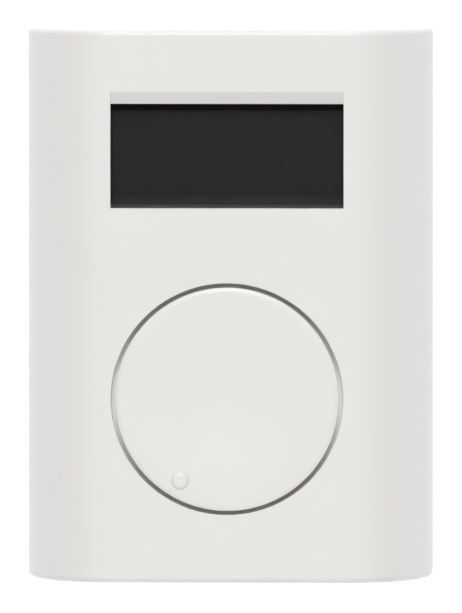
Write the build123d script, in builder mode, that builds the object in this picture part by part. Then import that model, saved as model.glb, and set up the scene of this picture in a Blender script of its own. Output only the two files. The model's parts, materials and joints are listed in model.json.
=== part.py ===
"""Wall thermostat with a display window and a push dial, every piece in millimetres.

Frame: the origin is the middle of the wall face, +Z is up and +X is to the right as seen from the
room. The wall is at Y = 0 and the front faces -Y, so a sketch on Plane.XZ.offset(out) lies "out"
millimetres from the wall, and extrude() carries it further out.
"""

import os
from math import cos, radians, sin

from build123d import *

os.makedirs("parts", exist_ok=True)

# ---- Case --------------------------------------------------------------------------------------
width, height = 66.3, 90.2
face_out = 21.7  # front of the cover, from the wall
wall = 2.0  # thickness of the cover's skin
flat_half = 20.0  # the face is flat this far from the middle, then curves back to the sides
shoulder_out = 3.0  # where the curve runs into the straight side
cover_back_out = 0.8  # the cover stops short of the wall
edge_round = 1.0
top_back_round = 3.4  # keeps the cover's top corners off the wall as it swings open
half_width, half_height = width / 2, height / 2
end_wall_outer = 43.8  # the top and bottom walls sit a little inside the skin's edge
end_wall_inner = 42.2
top_wall_back_out = 1.5

# ---- Hinge of the cover, at the top of the wall plate ------------------------------------------
hinge_out, hinge_z = 2.4, 41.0
hinge_pin_r = 1.0
running_clearance = 0.05
claw_thickness = 1.0
claw_width = 5.4
cheek_gap = 6.2
cheek_width = 1.4
hinge_x = (-18.0, 18.0)

# ---- Display -----------------------------------------------------------------------------------
window_w = 38.0
window_low, window_high = 16.0, 33.0
window_z = (window_low + window_high) / 2
window_h = window_high - window_low
bevel_rise, bevel_depth = 2.0, 1.2  # the sloping top edge of the window
bevel_round, sill_round = 0.4, 0.2  # along the top of the bevel and the bottom of the window
lens_front_out = 20.1
lens_thickness = 1.2
lens_w, lens_h, lens_corner = 41.0, 20.0, 0.8
fit_gap = 0.1  # all round a piece that drops into a pocket
gasket_thickness = 0.8
gasket_w, gasket_low, gasket_high = 40.6, 14.9, 34.1
gasket_window_w, gasket_window_low, gasket_window_high = 38.8, 15.7, 31.9
film_thickness = 0.2
film_w, film_low, film_high = 40.8, 16.6, 34.9  # the film stops short of the bottom of the window
glass_thickness = 1.0  # each of the two glasses of the liquid crystal panel
lcd_w = 41.6
lcd_low, lcd_high = 14.0, 35.2
lcd_ledge = 2.4  # the rear glass stands out below the front one, to carry the contacts
frame_wall = 0.8
pin_pitch, pin_count = 2.2, 16
lcd_pin_z = 12.6

# ---- Dial --------------------------------------------------------------------------------------
dial_z = -15.1
opening_r, opening_round = 18.9, 0.15
lip_back_out = 20.5  # the face is thinner round the opening, to make room for the dial's collar
guide_r, guide_wall, guide_back_out = 21.0, 1.3, 15.6  # the ring behind the opening
dial_r = 18.2
collar_r, collar_front_out, collar_thickness = 20.4, 20.15, 1.2  # keeps the dial behind the face
dial_rim_out = 21.75
dial_back_out = 15.4
dial_dish = 0.9  # how far the middle of the dial is sunk
dial_edge_w, dial_edge_h = 0.9, 0.2  # the elliptical rounding of the rim
dial_ceiling_out = 19.3
dial_skirt = 1.5
hub_r, hub_back_out, hub_slit = 5.0, 15.7, 0.8
clip_gap, clip_inset, clip_sheet, clip_w = 2.4, 0.3, 0.5, 1.2
rib_thickness, rib_back_out, rib_count = 1.0, 17.6, 6
dot_r, dot_out, dot_round = 1.45, 22.25, 0.4
dot_distance, dot_angle = 15.3, 30.0  # from the dial's axis, and from straight down towards the left

# ---- Encoder under the dial --------------------------------------------------------------------
shaft_r, shaft_flat = 3.0, 1.5
shaft_front_out, shaft_back_out = 19.1, 12.1
flange_r, flange_thickness = 3.8, 0.35
encoder_w, encoder_h = 12.0, 12.4
encoder_floor_out, encoder_rim_out = 11.5, 13.5
encoder_cavity_r = 5.4
rotor_r, rotor_back_out, rotor_thickness = 5.2, 12.5, 0.9
detent_count, detent_circle_r = 24, 4.4
detent_leaf = 0.3
encoder_sheet = 0.5
bushing_r, bushing_height = 4.4, 0.6
tab_w = 2.4
dome_r, dome_height, dome_sheet = 2.0, 0.4, 0.12
dome_room_r, dome_room_depth = 2.2, 0.7
plunger_r, plunger_back_out, plunger_length = 1.2, 11.0, 1.05
encoder_pin_places = [(-2.5, -1), (0, -1), (2.5, -1), (-2.5, 1), (2.5, 1)]
encoder_pin_reach = 7.0  # from the encoder's axis to the row of pins

# ---- Board -------------------------------------------------------------------------------------
board_back_out, board_thickness = 8.8, 1.6
board_front_out = board_back_out + board_thickness
board_w, board_corner = 56.4, 1.5
board_low, board_high = -39.5, 39.0
board_size = (board_w, board_high - board_low)
boss_points = [(-25.2, 35.6), (25.2, 35.6), (-24.6, -35.6), (24.6, -35.6)]
boss_r, pilot_r, pilot_depth = 2.7, 1.15, 6.2
screw_r, screw_head_r, screw_head_h, screw_length = 1.1, 2.1, 1.6, 6.8
frame_peg_points = [(-20.6, 12.2), (20.6, 12.2), (-20.6, 37.2), (20.6, 37.2)]
frame_peg_r = 0.8
sensor_x, sensor_z = -8.0, -37.4
lead_r, lead_pitch = 0.25, 1.2

# ---- Wall plate --------------------------------------------------------------------------------
plate_thickness = 1.8
plate_w, plate_corner = 61.2, 1.6
plate_low, plate_high = -41.8, 41.1
plate_size = (plate_w, plate_high - plate_low)
rim_thickness, rim_out = 1.2, 4.2
slot_length, slot_width, slot_spacing = 8.0, 4.2, 60.0
cable_size, cable_z = 18.0, -12.5
latch_w = 8.0
latch_foot_top = -36.8
latch_post_x, latch_post_z, latch_post_r, latch_post_l = 2.5, -38.4, 0.9, 1.5
latch_sheet, latch_bend_z, latch_back_z = 1.0, -40.4, -41.4
latch_hook_z, latch_hook_back_out, latch_hook_front_out, latch_tip_out = -43.1, 6.0, 8.0, 8.8

# ---- Terminal block on the wall plate ----------------------------------------------------------
pole_pitch, pole_count = 5.0, 4
pole_x = [(i - (pole_count - 1) / 2) * pole_pitch for i in range(pole_count)]
block_w, block_low, block_high = 20.4, 9.5, 17.5
block_out = 7.9
block_peg_x, block_peg_z, block_peg_r = 5.0, 13.5, 1.0
pole_z = 14.0
room_w, room_low, room_high, room_back_out, room_front_out = 3.8, 10.9, 16.7, 2.5, 7.1
cage_w, cage_length, cage_back_out, cage_front_out = 3.4, 4.0, 2.7, 6.1
cage_side, cage_top = 0.5, 0.6
strip_back_out, strip_thickness, strip_w = 4.3, 0.4, 2.0
strip_low, strip_high = 12.4, 24.0
contact_z, contact_w = 22.6, 1.6
clamp_screw_r, clamp_head_r = 0.95, 1.75
clamp_screw_out, clamp_head_out, clamp_top_out = 4.75, 6.5, 7.5


def out_plane(out):
    """The plane parallel to the wall, this far from it, that looks out into the room."""
    return Plane.XZ.offset(out)


def case_section(inset, back_out):
    """The case cut level, set in from its outside by inset, and ending back_out from the wall."""
    side_x = half_width - inset
    front_y = -(face_out - inset)
    with BuildSketch() as section:
        with BuildLine():
            right_side = Line((side_x, -back_out), (side_x, -shoulder_out))
            EllipticalCenterArc(
                (flat_half, -shoulder_out), side_x - flat_half, -shoulder_out - front_y, 270, arc_size=90
            )
            Line((flat_half, front_y), (0, front_y))
            Line((0, front_y), (0, -back_out))
            Line((0, -back_out), right_side @ 0)
        make_face()
        mirror(about=Plane.YZ)
    return section.sketch


def dial_section():
    """A plane whose x runs from the dial's axis and whose y runs out of the wall."""
    return Plane(origin=(0, 0, dial_z), x_dir=(1, 0, 0), z_dir=(0, 0, -1))


dial_axis = Axis((0, 0, dial_z), (0, -1, 0))


def face_edges(cover):
    """The edges of the cover that lie in its flat face."""
    return cover.edges().filter_by(lambda edge: abs(edge.center().Y + face_out) < 0.01)


def window_edge(edge):
    """Whether an edge of the face bounds the display window."""
    middle = edge.center()
    beside = abs(middle.X) < window_w / 2 + 0.01
    return beside and window_low - 0.01 < middle.Z < window_high + bevel_rise + 0.01


def frame_sketch(outer_w, outer_h, inner_w, inner_h):
    """A rectangular frame about the sketch's middle."""
    with BuildSketch() as sketch:
        Rectangle(outer_w, outer_h)
        Rectangle(inner_w, inner_h, mode=Mode.SUBTRACT)
    return sketch.sketch


def d_section(radius, flat):
    """A round bar's section with one flat, on the side away from the dial's dot."""
    with BuildSketch() as sketch:
        Circle(radius)
        with Locations((0, flat + radius)):
            Rectangle(2 * radius, 2 * radius, mode=Mode.SUBTRACT)
    return sketch.sketch


shaft_bore = d_section(shaft_r + running_clearance, shaft_flat + running_clearance)

# ======================================== Front unit ==============================================

# ---- Front cover: curved skin, end walls with vents, window, dial opening, bosses, claws -------
vent_w, vent_l, vent_pitch, vent_count = 1.4, 8.0, 3.4, 13
top_vent_out, bottom_vent_out = 11.0, 14.0
latch_window_w, latch_window_low, latch_window_high = 9.0, 5.6, 8.4
lens_rib, lens_rib_depth = 1.1, 1.4
cavity_front_out = face_out - wall

with BuildPart() as front_cover:
    with BuildSketch(Plane.XY.offset(-half_height)):
        add(case_section(0, cover_back_out))
    extrude(amount=height)
    levels = front_cover.edges().group_by(Axis.Z)
    end_edges = levels[0] + levels[-1]
    fillet(end_edges.filter_by(lambda edge: edge.center().Y < -cover_back_out), radius=edge_round)
    with BuildSketch(Plane.YZ.offset(-half_width)):
        with Locations((-cover_back_out, half_height)):
            Rectangle(top_back_round, top_back_round, align=(Align.MAX, Align.MAX))
        with Locations((-cover_back_out - top_back_round, half_height - top_back_round)):
            Circle(top_back_round, mode=Mode.SUBTRACT)
    extrude(amount=width, mode=Mode.SUBTRACT)
    with BuildSketch(Plane.XY.offset(-half_height)):
        add(case_section(wall, 0))
    extrude(amount=height, mode=Mode.SUBTRACT)
    # The top and bottom walls, with their vents.
    with BuildSketch(Plane.XY.offset(end_wall_inner)):
        add(case_section(wall - fit_gap, top_wall_back_out))
        with Locations((0, -top_vent_out)):
            with GridLocations(vent_pitch, 1, vent_count, 1):
                SlotOverall(vent_l, vent_w, rotation=90, mode=Mode.SUBTRACT)
    extrude(amount=end_wall_outer - end_wall_inner)
    with BuildSketch(Plane.XY.offset(-end_wall_outer)):
        add(case_section(wall - fit_gap, cover_back_out))
        with Locations((0, -bottom_vent_out)):
            with GridLocations(vent_pitch, 1, vent_count, 1):
                SlotOverall(vent_l - 1, vent_w, rotation=90, mode=Mode.SUBTRACT)
        with Locations((0, -(latch_window_low + latch_window_high) / 2)):
            Rectangle(latch_window_w, latch_window_high - latch_window_low, mode=Mode.SUBTRACT)
    extrude(amount=end_wall_outer - end_wall_inner)
    # The dial's round opening, and the ring behind it that guides the dial's collar.
    with BuildSketch(out_plane(guide_back_out)):
        with Locations((0, dial_z)):
            Circle(guide_r + guide_wall)
            Circle(guide_r, mode=Mode.SUBTRACT)
    extrude(amount=cavity_front_out + fit_gap - guide_back_out)
    with BuildSketch(out_plane(guide_back_out)):
        with Locations((0, dial_z)):
            Circle(guide_r)
    extrude(amount=lip_back_out - guide_back_out, mode=Mode.SUBTRACT)
    with BuildSketch(out_plane(cavity_front_out)):
        with Locations((0, dial_z)):
            Circle(opening_r)
    extrude(amount=2 * wall, mode=Mode.SUBTRACT)
    fillet(face_edges(front_cover).filter_by(GeomType.CIRCLE), radius=opening_round)
    # The display window, its sloping top edge, the pocket for the lens and the rib round it.
    with BuildSketch(out_plane(cavity_front_out - lens_rib_depth)):
        with Locations((0, window_z)):
            add(
                frame_sketch(
                    lens_w + 2 * (fit_gap + lens_rib),
                    lens_h + 2 * (fit_gap + lens_rib),
                    lens_w + 2 * fit_gap,
                    lens_h + 2 * fit_gap,
                )
            )
    extrude(amount=lens_rib_depth + fit_gap)
    with BuildSketch(out_plane(lens_front_out)):
        with Locations((0, window_z)):
            Rectangle(lens_w + 2 * fit_gap, lens_h + 2 * fit_gap)
    extrude(amount=-lens_thickness, mode=Mode.SUBTRACT)
    with BuildSketch(out_plane(cavity_front_out)):
        with Locations((0, window_z)):
            Rectangle(window_w, window_h)
    extrude(amount=2 * wall, mode=Mode.SUBTRACT)
    with BuildSketch(Plane.YZ.offset(-window_w / 2)):
        with BuildLine():
            Polyline(
                (-face_out + bevel_depth, window_high),
                (-face_out, window_high + bevel_rise),
                (-face_out - 1, window_high + bevel_rise),
                (-face_out - 1, window_high),
                close=True,
            )
        make_face()
    extrude(amount=window_w, mode=Mode.SUBTRACT)
    fillet(face_edges(front_cover).filter_by(window_edge).sort_by(Axis.Z)[-1], radius=bevel_round)
    fillet(face_edges(front_cover).filter_by(window_edge).sort_by(Axis.Z)[0], radius=sill_round)
    # Screw bosses for the board, standing on the inside of the face.
    with BuildSketch(out_plane(board_front_out)):
        with Locations(*boss_points):
            Circle(boss_r)
    extrude(until=Until.NEXT)
    with BuildSketch(out_plane(board_front_out)):
        with Locations(*boss_points):
            Circle(pilot_r)
    extrude(amount=pilot_depth, mode=Mode.SUBTRACT)
    # Claws that hook over the hinge pins of the wall plate.
    for x in hinge_x:
        with BuildSketch(Plane.YZ.offset(x - claw_width / 2)):
            with Locations((-hinge_out, hinge_z)):
                Circle(hinge_pin_r + running_clearance + claw_thickness)
            with Locations((-hinge_out, hinge_z)):
                Circle(hinge_pin_r + running_clearance, mode=Mode.SUBTRACT)
            with Locations((-hinge_out, hinge_z - running_clearance)):
                Rectangle(8, 8, align=(Align.CENTER, Align.MAX), mode=Mode.SUBTRACT)
        extrude(amount=claw_width)
front_cover.part.label = "front_cover"
export_step(front_cover.part, "parts/front_cover.step")

# ---- Display lens: smoked window dropped into its pocket from behind ---------------------------
lens_back_out = lens_front_out - lens_thickness
with BuildPart() as display_lens:
    with BuildSketch(out_plane(lens_back_out)):
        with Locations((0, window_z)):
            RectangleRounded(lens_w, lens_h, lens_corner)
    extrude(amount=lens_thickness)
display_lens.part.label = "display_lens"
export_step(display_lens.part, "parts/display_lens.step")

# ---- Foam frame between the lens and the display -----------------------------------------------
gasket_back_out = lens_back_out - gasket_thickness
with BuildPart() as display_gasket:
    with BuildSketch(out_plane(gasket_back_out)):
        with Locations((0, gasket_low)):
            Rectangle(gasket_w, gasket_high - gasket_low, align=(Align.CENTER, Align.MIN))
        with Locations((0, gasket_window_low)):
            Rectangle(
                gasket_window_w,
                gasket_window_high - gasket_window_low,
                align=(Align.CENTER, Align.MIN),
                mode=Mode.SUBTRACT,
            )
    extrude(amount=gasket_thickness)
display_gasket.part.label = "display_gasket"
export_step(display_gasket.part, "parts/display_gasket.step")

# ---- Polarising film on the front glass --------------------------------------------------------
lcd_front_out = gasket_back_out - film_thickness
with BuildPart() as polarising_film:
    with BuildSketch(out_plane(lcd_front_out)):
        with Locations((0, film_low)):
            Rectangle(film_w, film_high - film_low, align=(Align.CENTER, Align.MIN))
    extrude(amount=film_thickness)
polarising_film.part.label = "polarising_film"
export_step(polarising_film.part, "parts/polarising_film.step")

# ---- Liquid crystal panel: two bonded glasses, with a ledge at the bottom for the contacts -----
lcd_back_out = lcd_front_out - 2 * glass_thickness
with BuildPart() as lcd_panel:
    with BuildSketch(out_plane(lcd_front_out - glass_thickness)):
        with Locations((0, lcd_low)):
            Rectangle(lcd_w, lcd_high - lcd_low, align=(Align.CENTER, Align.MIN))
    extrude(amount=glass_thickness)
    with BuildSketch(out_plane(lcd_back_out)):
        with Locations((0, lcd_low + lcd_ledge)):
            Rectangle(lcd_w, lcd_high - lcd_low - lcd_ledge, align=(Align.CENTER, Align.MIN))
    extrude(amount=glass_thickness)
lcd_panel.part.label = "lcd_panel"
export_step(lcd_panel.part, "parts/lcd_panel.step")

# ---- Rubber contact strip from the board to the glass ledge ------------------------------------
connector_w, connector_low, connector_thickness = 36.0, lcd_low + 0.3, 1.8
with BuildPart() as lcd_connector:
    with BuildSketch(out_plane(board_front_out)):
        with Locations((0, connector_low)):
            Rectangle(connector_w, connector_thickness, align=(Align.CENTER, Align.MIN))
    extrude(amount=lcd_front_out - glass_thickness - board_front_out)
lcd_connector.part.label = "lcd_connector"
export_step(lcd_connector.part, "parts/lcd_connector.step")

# ---- Light guide behind the panel --------------------------------------------------------------
guide_w, guide_low, guide_high = 41.2, 16.9, 35.1
guide_thickness = 2.9
guide_back_out = lcd_back_out - fit_gap - guide_thickness
with BuildPart() as light_guide:
    with BuildSketch(out_plane(guide_back_out)):
        with Locations((0, guide_low)):
            Rectangle(guide_w, guide_high - guide_low, align=(Align.CENTER, Align.MIN))
    extrude(amount=guide_thickness)
    chamfer(light_guide.edges().group_by(Axis.Y)[-1], length=0.4)
light_guide.part.label = "light_guide"
export_step(light_guide.part, "parts/light_guide.step")

# ---- Frame that carries the display on the board, with its ledges, dividing bar, ears and pegs ---
frame_z = (lcd_low + lcd_high) / 2
frame_room_w, frame_room_h = lcd_w + 2 * fit_gap, lcd_high - lcd_low + 2 * fit_gap
ear_r, ear_height = 1.7, 1.6
bar_low, bar_thickness = 16.2, 0.5
ledge_w, ledge_thickness = 0.8, 1.0
ledge_length = frame_z + frame_room_h / 2 - bar_low
with BuildPart() as lcd_frame:
    with BuildSketch(out_plane(board_front_out)):
        with Locations((0, frame_z)):
            add(
                frame_sketch(
                    frame_room_w + 2 * frame_wall,
                    frame_room_h + 2 * frame_wall,
                    frame_room_w,
                    frame_room_h,
                )
            )
    extrude(amount=lcd_front_out - board_front_out)
    with BuildSketch(out_plane(board_front_out)):
        with Locations((0, bar_low)):
            Rectangle(frame_room_w + frame_wall, bar_thickness, align=(Align.CENTER, Align.MIN))
    extrude(amount=lcd_back_out - fit_gap - board_front_out)
    with BuildSketch(out_plane(guide_back_out - ledge_thickness)):
        with Locations((0, bar_low)):
            with GridLocations(frame_room_w - ledge_w, 1, 2, 1):
                Rectangle(2 * ledge_w, ledge_length, align=(Align.CENTER, Align.MIN))
    extrude(amount=ledge_thickness)
    with BuildSketch(out_plane(board_front_out)):
        with Locations(*frame_peg_points):
            Circle(ear_r)
    extrude(amount=ear_height)
    with BuildSketch(out_plane(board_front_out)):
        with Locations(*frame_peg_points):
            Circle(frame_peg_r)
    extrude(amount=-board_thickness - 0.7)
lcd_frame.part.label = "lcd_frame"
export_step(lcd_frame.part, "parts/lcd_frame.step")

# ---- Backlight diodes under the light guide ----------------------------------------------------
led_w, led_h, led_height, led_pitch, led_count = 3.0, 1.6, 1.0, 9.4, 4
with BuildPart() as backlight_leds:
    with BuildSketch(out_plane(board_front_out)):
        with Locations((0, (guide_low + guide_high) / 2)):
            with GridLocations(led_pitch, 1, led_count, 1):
                Rectangle(led_w, led_h)
    extrude(amount=led_height)
    chamfer(backlight_leds.edges().group_by(Axis.Y)[0], length=0.15)
backlight_leds.part.label = "backlight_leds"
export_step(backlight_leds.part, "parts/backlight_leds.step")

# ---- Main board: holes for screws, pegs, encoder and sensor, and the slot by the sensor --------
slot_by_sensor, sensor_slot_l, sensor_slot_w = (-8.0, -33.8), 12.0, 1.2
screw_hole_r, pin_hole_r = 1.4, 0.6
tab_hole_w, tab_hole_h = 1.0, 2.8
with BuildPart() as main_board:
    with BuildSketch(out_plane(board_back_out)):
        with Locations((0, board_low)):
            RectangleRounded(*board_size, board_corner, align=(Align.CENTER, Align.MIN))
        with Locations(*boss_points):
            Circle(screw_hole_r, mode=Mode.SUBTRACT)
        with Locations(*frame_peg_points):
            Circle(frame_peg_r + fit_gap, mode=Mode.SUBTRACT)
        with Locations(*[(x, dial_z + side * encoder_pin_reach) for x, side in encoder_pin_places]):
            Circle(pin_hole_r, mode=Mode.SUBTRACT)
        with Locations((0, dial_z)):
            with GridLocations(encoder_w + encoder_sheet, 1, 2, 1):
                Rectangle(tab_hole_w, tab_hole_h, mode=Mode.SUBTRACT)
        with Locations((sensor_x, sensor_z)):
            with GridLocations(lead_pitch, 1, 2, 1):
                Circle(lead_r + running_clearance, mode=Mode.SUBTRACT)
        with Locations(slot_by_sensor):
            SlotOverall(sensor_slot_l, sensor_slot_w, mode=Mode.SUBTRACT)
    extrude(amount=board_thickness)
main_board.part.label = "main_board"
export_step(main_board.part, "parts/main_board.step")

# ---- Screws that hold the board to the cover's bosses ------------------------------------------
with BuildPart() as board_screws:
    with BuildSketch(out_plane(board_back_out)):
        with Locations(*boss_points):
            Circle(screw_r)
    extrude(amount=screw_length)
    with BuildSketch(out_plane(board_back_out)):
        with Locations(*boss_points):
            Circle(screw_head_r)
    extrude(amount=-screw_head_h)
    fillet(board_screws.edges().group_by(Axis.Y)[-1], radius=0.6)
    with BuildSketch(out_plane(board_back_out - screw_head_h)):
        with Locations(*boss_points):
            Rectangle(2.2, 0.5)
            Rectangle(0.5, 2.2)
    extrude(amount=0.9, mode=Mode.SUBTRACT)
board_screws.part.label = "board_screws"
export_step(board_screws.part, "parts/board_screws.step")

# ---- Encoder base: a tray for the rotor, over the room for the push dome -----------------------
with BuildPart() as encoder_base:
    with BuildSketch(out_plane(board_front_out)):
        with Locations((0, dial_z)):
            RectangleRounded(encoder_w, encoder_h, 0.6)
    extrude(amount=encoder_rim_out - board_front_out)
    with BuildSketch(out_plane(encoder_floor_out)):
        with Locations((0, dial_z)):
            Circle(encoder_cavity_r)
    extrude(amount=encoder_rim_out - encoder_floor_out, mode=Mode.SUBTRACT)
    with BuildSketch(out_plane(board_front_out)):
        with Locations((0, dial_z)):
            Circle(dome_room_r)
    extrude(amount=dome_room_depth, mode=Mode.SUBTRACT)
    with BuildSketch(out_plane(board_front_out)):
        with Locations((0, dial_z)):
            Circle(plunger_r + running_clearance)
    extrude(amount=encoder_floor_out - board_front_out, mode=Mode.SUBTRACT)
encoder_base.part.label = "encoder_base"
export_step(encoder_base.part, "parts/encoder_base.step")

# ---- Snap dome that the plunger presses --------------------------------------------------------
dome_rest_out = board_front_out + 0.05
dome_top_out = dome_rest_out + dome_height
with BuildPart() as push_dome:
    with BuildSketch(dial_section()):
        with BuildLine():
            TangentArc((0, dome_top_out), (dome_r, dome_rest_out), tangent=(1, 0))
            Line((dome_r, dome_rest_out), (dome_r - 2 * dome_sheet, dome_rest_out))
            TangentArc(
                (0, dome_top_out - dome_sheet), (dome_r - 2 * dome_sheet, dome_rest_out), tangent=(1, 0)
            )
            Line((0, dome_top_out - dome_sheet), (0, dome_top_out))
        make_face()
    revolve(axis=dial_axis)
push_dome.part.label = "push_dome"
export_step(push_dome.part, "parts/push_dome.step")

# ---- Plunger between the shaft and the dome ----------------------------------------------------
with BuildPart() as push_plunger:
    with BuildSketch(out_plane(plunger_back_out)):
        with Locations((0, dial_z)):
            Circle(plunger_r)
    extrude(amount=plunger_length)
    chamfer(push_plunger.edges().group_by(Axis.Y)[0], length=0.2)
push_plunger.part.label = "push_plunger"
export_step(push_plunger.part, "parts/push_plunger.step")

# ---- Rotor, which the shaft turns and slides through, with its ring of detents -----------------
rotor_front_out = rotor_back_out + rotor_thickness
with BuildPart() as encoder_rotor:
    with BuildSketch(out_plane(rotor_back_out)):
        with Locations((0, dial_z)):
            Circle(rotor_r)
            add(shaft_bore, mode=Mode.SUBTRACT)
    extrude(amount=rotor_thickness)
    with BuildSketch(out_plane(rotor_front_out)):
        with Locations((0, dial_z)):
            with PolarLocations(detent_circle_r, detent_count):
                Circle(0.4)
    extrude(amount=-0.4, mode=Mode.SUBTRACT)
encoder_rotor.part.label = "encoder_rotor"
export_step(encoder_rotor.part, "parts/encoder_rotor.step")

# ---- Detent spring: a thin leaf with two bumps that rest in the rotor's detents ----------------
with BuildPart() as detent_spring:
    with BuildSketch(out_plane(encoder_rim_out)):
        with Locations((0, dial_z)):
            RectangleRounded(encoder_w - 0.4, encoder_h - 0.4, 0.6)
            Circle(shaft_r + 0.5, mode=Mode.SUBTRACT)
            with GridLocations(1, 10.4, 1, 2):
                SlotOverall(8.4, 0.7, mode=Mode.SUBTRACT)
    extrude(amount=detent_leaf)
    with BuildSketch(out_plane(encoder_rim_out)):
        with Locations((0, dial_z)):
            with PolarLocations(detent_circle_r, 2):
                Circle(0.25)
    extrude(amount=-0.25)
detent_spring.part.label = "detent_spring"
export_step(detent_spring.part, "parts/detent_spring.step")

# ---- Metal housing over the encoder, with the shaft's bushing and two tabs through the board ---
sheet_back_out = encoder_rim_out + detent_leaf
with BuildPart() as encoder_housing:
    with BuildSketch(out_plane(sheet_back_out)):
        with Locations((0, dial_z)):
            RectangleRounded(encoder_w + 2 * encoder_sheet, encoder_h, 0.5)
    extrude(amount=encoder_sheet)
    with BuildSketch(out_plane(sheet_back_out + encoder_sheet)):
        with Locations((0, dial_z)):
            Circle(bushing_r)
    extrude(amount=bushing_height)
    with BuildSketch(out_plane(sheet_back_out)):
        with Locations((0, dial_z)):
            Circle(shaft_r + running_clearance)
    extrude(amount=encoder_sheet + bushing_height, mode=Mode.SUBTRACT)
    with BuildSketch(out_plane(sheet_back_out)):
        with Locations((0, dial_z)):
            with GridLocations(encoder_w + encoder_sheet, 1, 2, 1):
                Rectangle(encoder_sheet, tab_w)
    extrude(amount=board_back_out - 0.7 - sheet_back_out)
encoder_housing.part.label = "encoder_housing"
export_step(encoder_housing.part, "parts/encoder_housing.step")

# ---- Encoder pins, bent down through the board -------------------------------------------------
pin_w, pin_t, pin_out, pin_end_out = 0.7, 0.35, 10.9, 8.0
with BuildPart() as encoder_pins:
    for x, side in encoder_pin_places:
        with BuildSketch(Plane.YZ.offset(x - pin_w / 2)):
            with BuildLine():
                Polyline(
                    (-pin_out, dial_z + side * encoder_h / 2),
                    (-pin_out, dial_z + side * (encoder_pin_reach - pin_t / 2)),
                    (-pin_end_out, dial_z + side * (encoder_pin_reach - pin_t / 2)),
                    (-pin_end_out, dial_z + side * (encoder_pin_reach + pin_t / 2)),
                    (-pin_out - pin_t, dial_z + side * (encoder_pin_reach + pin_t / 2)),
                    (-pin_out - pin_t, dial_z + side * encoder_h / 2),
                    close=True,
                )
            make_face()
        extrude(amount=pin_w)
encoder_pins.part.label = "encoder_pins"
export_step(encoder_pins.part, "parts/encoder_pins.step")

# ---- Microcontroller: flat package with pins on four sides -------------------------------------
mcu_x, mcu_z, mcu_w, mcu_h, mcu_pins = -18.0, 3.6, 9.0, 1.4, 11
with BuildPart() as microcontroller:
    with BuildSketch(out_plane(board_back_out - 0.1)):
        with Locations((mcu_x, mcu_z)):
            RectangleRounded(mcu_w, mcu_w, 0.4)
    extrude(amount=-mcu_h)
    with BuildSketch(out_plane(board_back_out)):
        with Locations((mcu_x, mcu_z)):
            with GridLocations(0.7, 1, mcu_pins, 1):
                Rectangle(0.3, mcu_w + 2.4)
            with GridLocations(1, 0.7, 1, mcu_pins):
                Rectangle(mcu_w + 2.4, 0.3)
    extrude(amount=-0.35)
microcontroller.part.label = "microcontroller"
export_step(microcontroller.part, "parts/microcontroller.step")

# ---- Bus transceiver: package with pins on two sides -------------------------------------------
bus_x, bus_z, bus_w, bus_l, bus_pins = 18.4, 2.6, 5.2, 10.2, 8
with BuildPart() as bus_transceiver:
    with BuildSketch(out_plane(board_back_out - 0.1)):
        with Locations((bus_x, bus_z)):
            Rectangle(bus_w, bus_l)
    extrude(amount=-1.8)
    chamfer(bus_transceiver.edges().group_by(Axis.Y)[-1], length=0.3)
    with BuildSketch(out_plane(board_back_out)):
        with Locations((bus_x, bus_z)):
            with GridLocations(1, 1.27, 1, bus_pins):
                Rectangle(bus_w + 2.4, 0.42)
    extrude(amount=-0.4)
bus_transceiver.part.label = "bus_transceiver"
export_step(bus_transceiver.part, "parts/bus_transceiver.step")

# ---- Two upright capacitors --------------------------------------------------------------------
cap_points, cap_r, cap_height, cap_foot = [(17.6, -10.4), (17.6, -18.6)], 2.9, 5.4, 6.4
with BuildPart() as capacitors:
    with BuildSketch(out_plane(board_back_out)):
        with Locations(*cap_points):
            RectangleRounded(cap_foot, cap_foot, 0.5)
    extrude(amount=-0.9)
    with BuildSketch(out_plane(board_back_out - 0.9)):
        with Locations(*cap_points):
            Circle(cap_r)
    extrude(amount=0.9 - cap_height)
    fillet(capacitors.edges().group_by(Axis.Y)[-1], radius=0.4)
capacitors.part.label = "capacitors"
export_step(capacitors.part, "parts/capacitors.step")

# ---- Power inductor ----------------------------------------------------------------------------
with BuildPart() as inductor:
    with BuildSketch(out_plane(board_back_out)):
        with Locations((-17.6, -10.6)):
            RectangleRounded(6.2, 6.2, 1.2)
    extrude(amount=-3.0)
    fillet(inductor.edges().group_by(Axis.Y)[-1], radius=0.5)
inductor.part.label = "inductor"
export_step(inductor.part, "parts/inductor.step")

# ---- Crystal in its flat can -------------------------------------------------------------------
with BuildPart() as crystal:
    with BuildSketch(out_plane(board_back_out)):
        with Locations((-17.6, 18.0)):
            SlotOverall(10.6, 4.2)
    extrude(amount=-3.4)
    fillet(crystal.edges().group_by(Axis.Y)[-1], radius=0.4)
crystal.part.label = "crystal"
export_step(crystal.part, "parts/crystal.step")

# ---- Chip resistors and capacitors on both faces of the board ----------------------------------
chip_grids_back = [(-17.6, -21.0, 2.6, 2.4, 4, 3), (17.6, 20.4, 2.6, 2.4, 4, 3), (0.0, -24.0, 2.6, 2.4, 5, 2)]
chip_grids_front = [(-24.6, -8.0, 1.0, 2.6, 1, 6), (24.6, -8.0, 1.0, 2.6, 1, 6), (0.0, 9.4, 3.2, 1.0, 9, 1)]
chip_w, chip_l, chip_height = 1.7, 0.9, 0.55
with BuildPart() as chip_parts:
    for grids, out, rise in (
        (chip_grids_back, board_back_out, -chip_height),
        (chip_grids_front, board_front_out, chip_height),
    ):
        with BuildSketch(out_plane(out)):
            for x, z, step_x, step_z, columns, rows in grids:
                with Locations((x, z)):
                    with GridLocations(step_x, step_z, columns, rows):
                        Rectangle(chip_w, chip_l)
        extrude(amount=rise)
chip_parts.part.label = "chip_parts"
export_step(chip_parts.part, "parts/chip_parts.step")

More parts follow.
